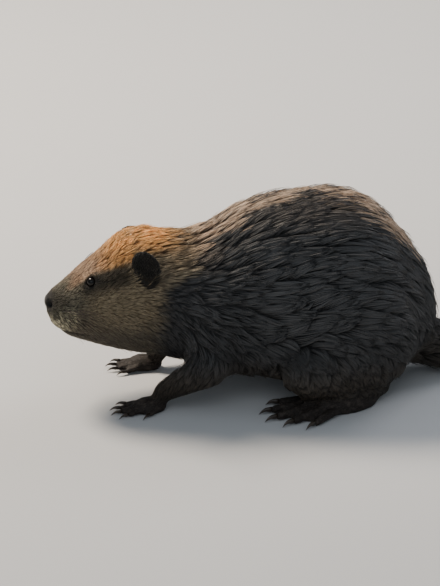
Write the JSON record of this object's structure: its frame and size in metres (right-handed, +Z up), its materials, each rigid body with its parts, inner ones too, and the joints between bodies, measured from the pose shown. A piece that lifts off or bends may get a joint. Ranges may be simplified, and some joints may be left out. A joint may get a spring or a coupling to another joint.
{
  "type": "beaver",
  "caption": "Life-size still model of a beaver crouching on all fours, back arched and head low, in wet clumped brown fur, with webbed hind feet and a flat scaly tail.",
  "frame": {"origin": "middle of the animal's bounding box, on the floor it stands on", "axes": "+Z up, -X towards the nose and +X towards the tail, -Y towards the animal's left side"},
  "size_m": [0.8166, 0.3334, 0.266],
  "materials": {
    "fur": "wet brown fur, orange-brown on the crown and grey-brown on the cheeks",
    "skin": "dark bare skin of nose, ears and feet",
    "scales": "dark grey scaly tail skin",
    "claw": "dark horn, half gloss",
    "eye": "wet black"
  },
  "bodies": {
    "root": {"head": "fur", "lower_jaw": "fur", "nose": "skin", "eye_left": "eye", "ear_left": "skin", "eye_right": "eye", "ear_right": "skin", "forepaw_left": "skin", "claw_fore_left_1": "claw", "claw_fore_left_2": "claw", "claw_fore_left_3": "claw", "claw_fore_left_4": "claw", "claw_fore_left_5": "claw", "foreleg_left": "fur", "hindfoot_left": "skin", "claw_hind_left_1": "claw", "claw_hind_left_2": "claw", "claw_hind_left_3": "claw", "claw_hind_left_4": "claw", "claw_hind_left_5": "claw", "hindleg_left": "fur", "forepaw_right": "skin", "claw_fore_right_1": "claw", "claw_fore_right_2": "claw", "claw_fore_right_3": "claw", "claw_fore_right_4": "claw", "claw_fore_right_5": "claw", "foreleg_right": "fur", "hindfoot_right": "skin", "claw_hind_right_1": "claw", "claw_hind_right_2": "claw", "claw_hind_right_3": "claw", "claw_hind_right_4": "claw", "claw_hind_right_5": "claw", "hindleg_right": "fur", "neck": "fur", "trunk": "fur", "tail_root": "fur", "tail_paddle": "scales"}
  },
  "joints": []
}
